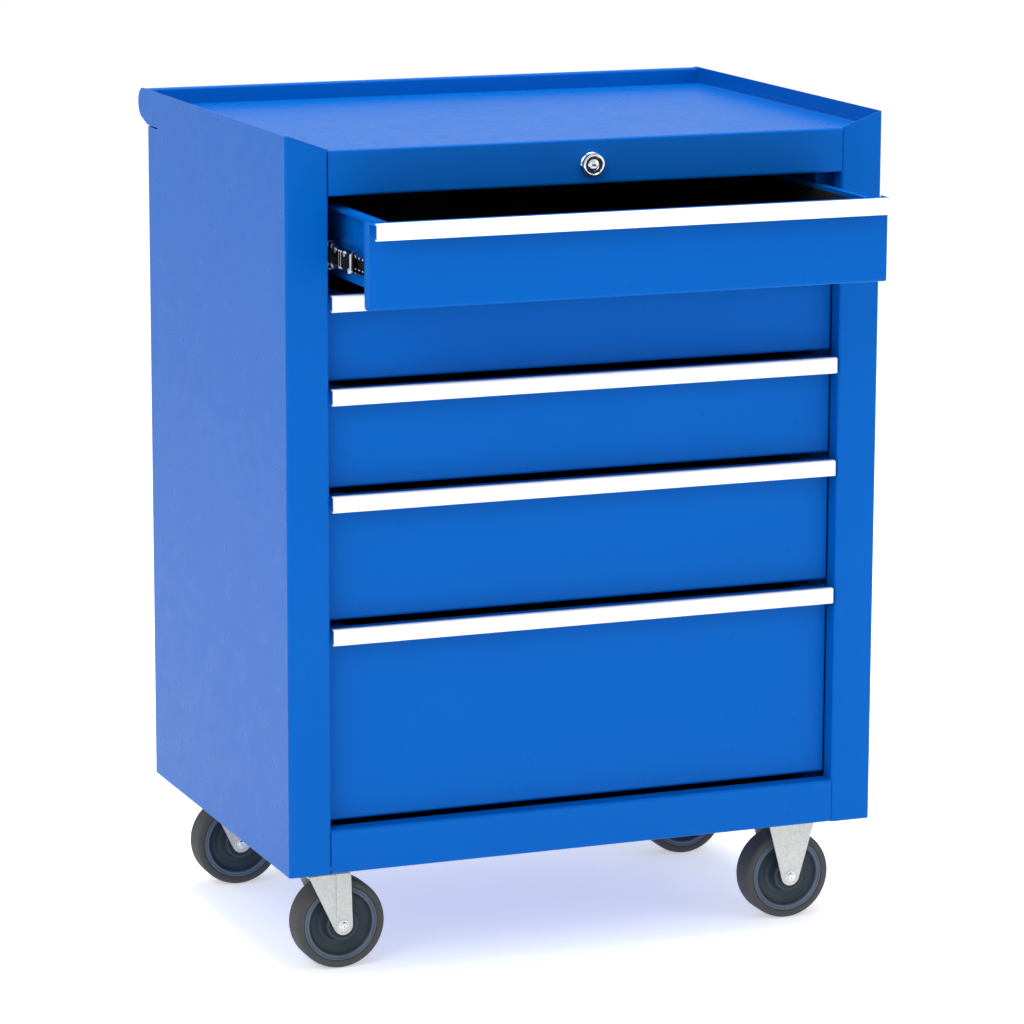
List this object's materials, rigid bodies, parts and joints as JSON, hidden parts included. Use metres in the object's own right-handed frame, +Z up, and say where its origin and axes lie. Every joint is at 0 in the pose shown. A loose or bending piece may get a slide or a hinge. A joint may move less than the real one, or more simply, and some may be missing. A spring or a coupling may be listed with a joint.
{
  "type": "rolling tool chest",
  "caption": "Rolling steel tool chest with full-width drawers on ball-bearing slides, recessed top tray, rolled push handle, central lock and caster wheels.",
  "frame": {"origin": "on the floor, under the middle of the box that holds the chest as it stands, with the top drawer part open", "axes": "+X to the right as seen from the drawers, +Y towards the back, +Z up"},
  "size_m": [0.68, 0.6478, 0.91],
  "materials": {
    "blue_paint": "satin powder coat",
    "white_trim": "satin white",
    "slide_steel": "bright zinc",
    "zinc_steel": "zinc plated",
    "lock_chrome": "polished",
    "caster_steel": "satin light grey zinc",
    "tyre_rubber": "matt rubber",
    "wheel_plastic": "matt dark grey"
  },
  "bodies": {
    "cabinet": {"side_panel_left": "blue_paint", "side_panel_right": "blue_paint", "back_panel": "blue_paint", "top_tray": "blue_paint", "push_handle": "blue_paint", "front_top_rail": "blue_paint", "front_bottom_rail": "blue_paint", "base_panel": "blue_paint", "slide_uprights": "blue_paint", "slide_outer_left": "slide_steel", "slide_outer_right": "slide_steel", "lock_housing": "lock_chrome", "lock_nut": "lock_chrome", "lock_bar_guides": "zinc_steel", "caster_bolts": "caster_steel", "fixed_caster_brackets": "caster_steel", "fixed_caster_axles": "caster_steel", "swivel_top_plates": "caster_steel"},
    "drawer_1": {"drawer_box_1": "blue_paint", "drawer_front_1": "blue_paint", "drawer_trim_1": "white_trim", "slide_inner_1": "slide_steel"},
    "slide_1": {"slide_middle_1": "slide_steel"},
    "drawer_2": {"drawer_box_2": "blue_paint", "drawer_front_2": "blue_paint", "drawer_trim_2": "white_trim", "slide_inner_2": "slide_steel"},
    "slide_2": {"slide_middle_2": "slide_steel"},
    "drawer_3": {"drawer_box_3": "blue_paint", "drawer_front_3": "blue_paint", "drawer_trim_3": "white_trim", "slide_inner_3": "slide_steel"},
    "slide_3": {"slide_middle_3": "slide_steel"},
    "drawer_4": {"drawer_box_4": "blue_paint", "drawer_front_4": "blue_paint", "drawer_trim_4": "white_trim", "slide_inner_4": "slide_steel"},
    "slide_4": {"slide_middle_4": "slide_steel"},
    "drawer_5": {"drawer_box_5": "blue_paint", "drawer_front_5": "blue_paint", "drawer_trim_5": "white_trim", "slide_inner_5": "slide_steel"},
    "slide_5": {"slide_middle_5": "slide_steel"},
    "lock_cylinder": {"lock_plug": "lock_chrome", "lock_shaft": "zinc_steel"},
    "lock_bar": {"lock_bar": "zinc_steel"},
    "swivel_front": {"swivel_fork_front": "caster_steel", "swivel_axle_front": "caster_steel"},
    "swivel_wheel_front": {"swivel_wheel_hub_front": "wheel_plastic", "swivel_tyre_front": "tyre_rubber"},
    "fixed_wheel_front": {"fixed_wheel_hub_front": "wheel_plastic", "fixed_tyre_front": "tyre_rubber"},
    "swivel_rear": {"swivel_fork_rear": "caster_steel", "swivel_axle_rear": "caster_steel"},
    "swivel_wheel_rear": {"swivel_wheel_hub_rear": "wheel_plastic", "swivel_tyre_rear": "tyre_rubber"},
    "fixed_wheel_rear": {"fixed_wheel_hub_rear": "wheel_plastic", "fixed_tyre_rear": "tyre_rubber"}
  },
  "joints": [
    {"name": "drawer_1_slide", "type": "slide", "parent": "cabinet", "child": "drawer_1", "axis": [0, -1, 0], "range_m": [-0.135, 0.245]},
    {"name": "slide_1_travel", "type": "slide", "parent": "cabinet", "child": "slide_1", "axis": [0, -1, 0], "range_m": [-0.0675, 0.1225]},
    {"name": "drawer_2_slide", "type": "slide", "parent": "cabinet", "child": "drawer_2", "axis": [0, -1, 0], "range_m": [0, 0.38]},
    {"name": "slide_2_travel", "type": "slide", "parent": "cabinet", "child": "slide_2", "axis": [0, -1, 0], "range_m": [0, 0.19]},
    {"name": "drawer_3_slide", "type": "slide", "parent": "cabinet", "child": "drawer_3", "axis": [0, -1, 0], "range_m": [0, 0.38]},
    {"name": "slide_3_travel", "type": "slide", "parent": "cabinet", "child": "slide_3", "axis": [0, -1, 0], "range_m": [0, 0.19]},
    {"name": "drawer_4_slide", "type": "slide", "parent": "cabinet", "child": "drawer_4", "axis": [0, -1, 0], "range_m": [0, 0.38]},
    {"name": "slide_4_travel", "type": "slide", "parent": "cabinet", "child": "slide_4", "axis": [0, -1, 0], "range_m": [0, 0.19]},
    {"name": "drawer_5_slide", "type": "slide", "parent": "cabinet", "child": "drawer_5", "axis": [0, -1, 0], "range_m": [0, 0.38]},
    {"name": "slide_5_travel", "type": "slide", "parent": "cabinet", "child": "slide_5", "axis": [0, -1, 0], "range_m": [0, 0.19]},
    {"name": "lock_turn", "type": "hinge", "parent": "cabinet", "child": "lock_cylinder", "pos_m": [0, -0.1859, 0.867], "axis": [0, 1, 0], "range_deg": [0, 90]},
    {"name": "lock_bar_lift", "type": "slide", "parent": "cabinet", "child": "lock_bar", "axis": [0, 0, 1], "range_m": [0, 0.01273]},
    {"name": "swivel_front_turn", "type": "hinge", "parent": "cabinet", "child": "swivel_front", "pos_m": [-0.288, -0.1179, 0.108], "axis": [0, 0, 1], "continuous": true},
    {"name": "swivel_wheel_front_spin", "type": "hinge", "parent": "swivel_front", "child": "swivel_wheel_front", "pos_m": [-0.264, -0.1179, 0.05], "axis": [0, 1, 0], "continuous": true},
    {"name": "fixed_wheel_front_spin", "type": "hinge", "parent": "cabinet", "child": "fixed_wheel_front", "pos_m": [0.266, -0.1179, 0.05], "axis": [0, 1, 0], "continuous": true},
    {"name": "swivel_rear_turn", "type": "hinge", "parent": "cabinet", "child": "swivel_rear", "pos_m": [-0.288, 0.2301, 0.108], "axis": [0, 0, 1], "continuous": true},
    {"name": "swivel_wheel_rear_spin", "type": "hinge", "parent": "swivel_rear", "child": "swivel_wheel_rear", "pos_m": [-0.264, 0.2301, 0.05], "axis": [0, 1, 0], "continuous": true},
    {"name": "fixed_wheel_rear_spin", "type": "hinge", "parent": "cabinet", "child": "fixed_wheel_rear", "pos_m": [0.266, 0.1651, 0.05], "axis": [0, 1, 0], "continuous": true}
  ],
  "couplings": [
    {"joint": "slide_1_travel", "follows": "drawer_1_slide", "ratio": 0.5},
    {"joint": "slide_2_travel", "follows": "drawer_2_slide", "ratio": 0.5},
    {"joint": "slide_3_travel", "follows": "drawer_3_slide", "ratio": 0.5},
    {"joint": "slide_4_travel", "follows": "drawer_4_slide", "ratio": 0.5},
    {"joint": "slide_5_travel", "follows": "drawer_5_slide", "ratio": 0.5},
    {"joint": "lock_turn", "follows": "lock_bar_lift", "rad_per_m": 123.4}
  ]
}
